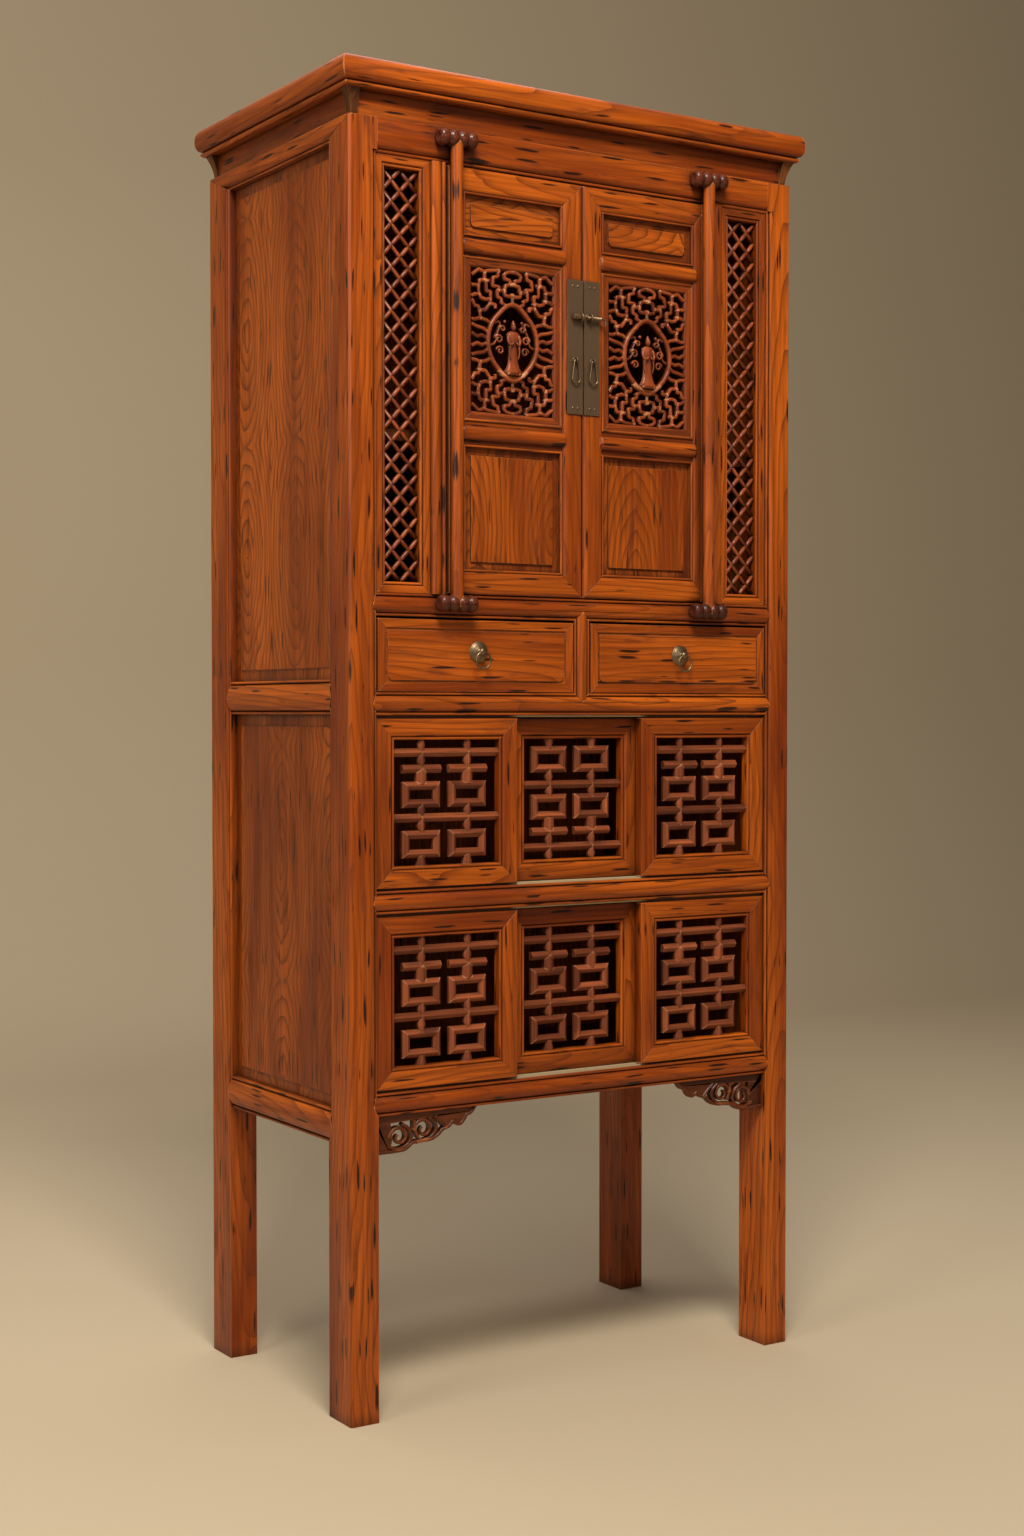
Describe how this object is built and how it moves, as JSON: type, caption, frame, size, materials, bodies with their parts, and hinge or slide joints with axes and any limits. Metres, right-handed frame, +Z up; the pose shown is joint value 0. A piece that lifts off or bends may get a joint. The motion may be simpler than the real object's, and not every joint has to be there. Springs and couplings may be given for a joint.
{
  "type": "chinese book cabinet",
  "caption": "Tall frame-and-panel cabinet on square legs: pivoting fretwork leaves between lattice grilles, drawers with ring pulls, and rows of sliding lattice panels.",
  "frame": {"origin": "on the floor, at the middle of the whole object's width and depth", "axes": "+Z up, +X to the right as seen from the front, the front faces -Y"},
  "size_m": [0.806, 0.4894, 1.875],
  "materials": {
    "frame_wood": "satin red-brown lacquer, worn on the edges",
    "panel_wood": "satin red-brown lacquer over strong grain",
    "carved_wood": "satin brown lacquer, dark in the hollows",
    "fretwork_wood": "dull brown lacquer",
    "socket_wood": "dark brown lacquer",
    "track_wood": "rubbed bare wood",
    "inner_wood": "thin brown stain",
    "lock_metal": "aged grey-brown, satin",
    "pull_metal": "aged pewter-coloured, satin"
  },
  "bodies": {
    "cabinet": {"back_left_post": "frame_wood", "back_panels": "inner_wood", "back_rails": "inner_wood", "back_right_post": "frame_wood", "bearers_and_guides": "inner_wood", "bottom_board": "inner_wood", "bottom_rail": "frame_wood", "cap": "frame_wood", "door_posts": "frame_wood", "door_rail": "frame_wood", "drawer_deck": "inner_wood", "drawer_divider": "frame_wood", "drawer_rail": "frame_wood", "frieze": "frame_wood", "front_left_post": "frame_wood", "front_right_post": "frame_wood", "left_grille": "frame_wood", "pivot_sockets": "socket_wood", "right_grille": "frame_wood", "shelves": "inner_wood", "side_panels": "panel_wood", "side_rails": "frame_wood", "slider_rail": "frame_wood", "slider_tracks": "track_wood", "spandrels": "carved_wood", "top_rail": "frame_wood", "upper_floor": "inner_wood"},
    "left_door": {"left_door_stiles": "frame_wood", "left_door_rails": "frame_wood", "left_door_panels": "panel_wood", "left_door_fret": "carved_wood", "left_lock_plate": "lock_metal"},
    "left_pull": {"left_door_pull": "pull_metal"},
    "right_door": {"right_door_stiles": "frame_wood", "right_door_rails": "frame_wood", "right_door_panels": "panel_wood", "right_door_fret": "carved_wood", "right_lock_plate": "lock_metal"},
    "right_pull": {"right_door_pull": "pull_metal"},
    "bolt": {"bolt": "lock_metal"},
    "left_drawer": {"left_drawer_front": "panel_wood", "left_drawer_box": "inner_wood", "left_drawer_rosette": "pull_metal"},
    "left_ring": {"left_drawer_ring": "pull_metal"},
    "right_drawer": {"right_drawer_front": "panel_wood", "right_drawer_box": "inner_wood", "right_drawer_rosette": "pull_metal"},
    "right_ring": {"right_drawer_ring": "pull_metal"},
    "upper_left_slider": {"upper_left_slider_frame": "frame_wood", "upper_left_slider_fretwork": "fretwork_wood"},
    "upper_middle_slider": {"upper_middle_slider_frame": "frame_wood", "upper_middle_slider_fretwork": "fretwork_wood"},
    "upper_right_slider": {"upper_right_slider_frame": "frame_wood", "upper_right_slider_fretwork": "fretwork_wood"},
    "lower_left_slider": {"lower_left_slider_frame": "frame_wood", "lower_left_slider_fretwork": "fretwork_wood"},
    "lower_middle_slider": {"lower_middle_slider_frame": "frame_wood", "lower_middle_slider_fretwork": "fretwork_wood"},
    "lower_right_slider": {"lower_right_slider_frame": "frame_wood", "lower_right_slider_fretwork": "fretwork_wood"}
  },
  "joints": [
    {"name": "left_door_hinge", "type": "hinge", "parent": "cabinet", "child": "left_door", "pos_m": [-0.221, -0.23225, 1.1515], "axis": [0, 0, -1], "range_deg": [0, 150]},
    {"name": "left_pull_swing", "type": "hinge", "parent": "left_door", "child": "left_pull", "pos_m": [-0.0153, -0.22575, 1.4955], "axis": [-1, 0, 0], "range_deg": [0, 80]},
    {"name": "right_door_hinge", "type": "hinge", "parent": "cabinet", "child": "right_door", "pos_m": [0.221, -0.23225, 1.1515], "axis": [0, 0, 1], "range_deg": [0, 150]},
    {"name": "right_pull_swing", "type": "hinge", "parent": "right_door", "child": "right_pull", "pos_m": [0.0153, -0.22575, 1.4955], "axis": [-1, 0, 0], "range_deg": [0, 80]},
    {"name": "bolt_slide", "type": "slide", "parent": "right_door", "child": "bolt", "axis": [1, 0, 0], "range_m": [-0.014, 0]},
    {"name": "left_drawer_slide", "type": "slide", "parent": "cabinet", "child": "left_drawer", "axis": [0, -1, 0], "range_m": [0, 0.28]},
    {"name": "left_ring_swing", "type": "hinge", "parent": "left_drawer", "child": "left_ring", "pos_m": [-0.17775, -0.23225, 1.0705], "axis": [-1, 0, 0], "range_deg": [0, 85]},
    {"name": "right_drawer_slide", "type": "slide", "parent": "cabinet", "child": "right_drawer", "axis": [0, -1, 0], "range_m": [0, 0.28]},
    {"name": "right_ring_swing", "type": "hinge", "parent": "right_drawer", "child": "right_ring", "pos_m": [0.17775, -0.23225, 1.0705], "axis": [-1, 0, 0], "range_deg": [0, 85]},
    {"name": "upper_left_slider_slide", "type": "slide", "parent": "cabinet", "child": "upper_left_slider", "axis": [1, 0, 0], "range_m": [0, 0.219]},
    {"name": "upper_middle_slider_slide", "type": "slide", "parent": "cabinet", "child": "upper_middle_slider", "axis": [1, 0, 0], "range_m": [-0.219, 0.219]},
    {"name": "upper_right_slider_slide", "type": "slide", "parent": "cabinet", "child": "upper_right_slider", "axis": [1, 0, 0], "range_m": [-0.219, 0]},
    {"name": "lower_left_slider_slide", "type": "slide", "parent": "cabinet", "child": "lower_left_slider", "axis": [1, 0, 0], "range_m": [0, 0.219]},
    {"name": "lower_middle_slider_slide", "type": "slide", "parent": "cabinet", "child": "lower_middle_slider", "axis": [1, 0, 0], "range_m": [-0.219, 0.219]},
    {"name": "lower_right_slider_slide", "type": "slide", "parent": "cabinet", "child": "lower_right_slider", "axis": [1, 0, 0], "range_m": [-0.219, 0]}
  ]
}
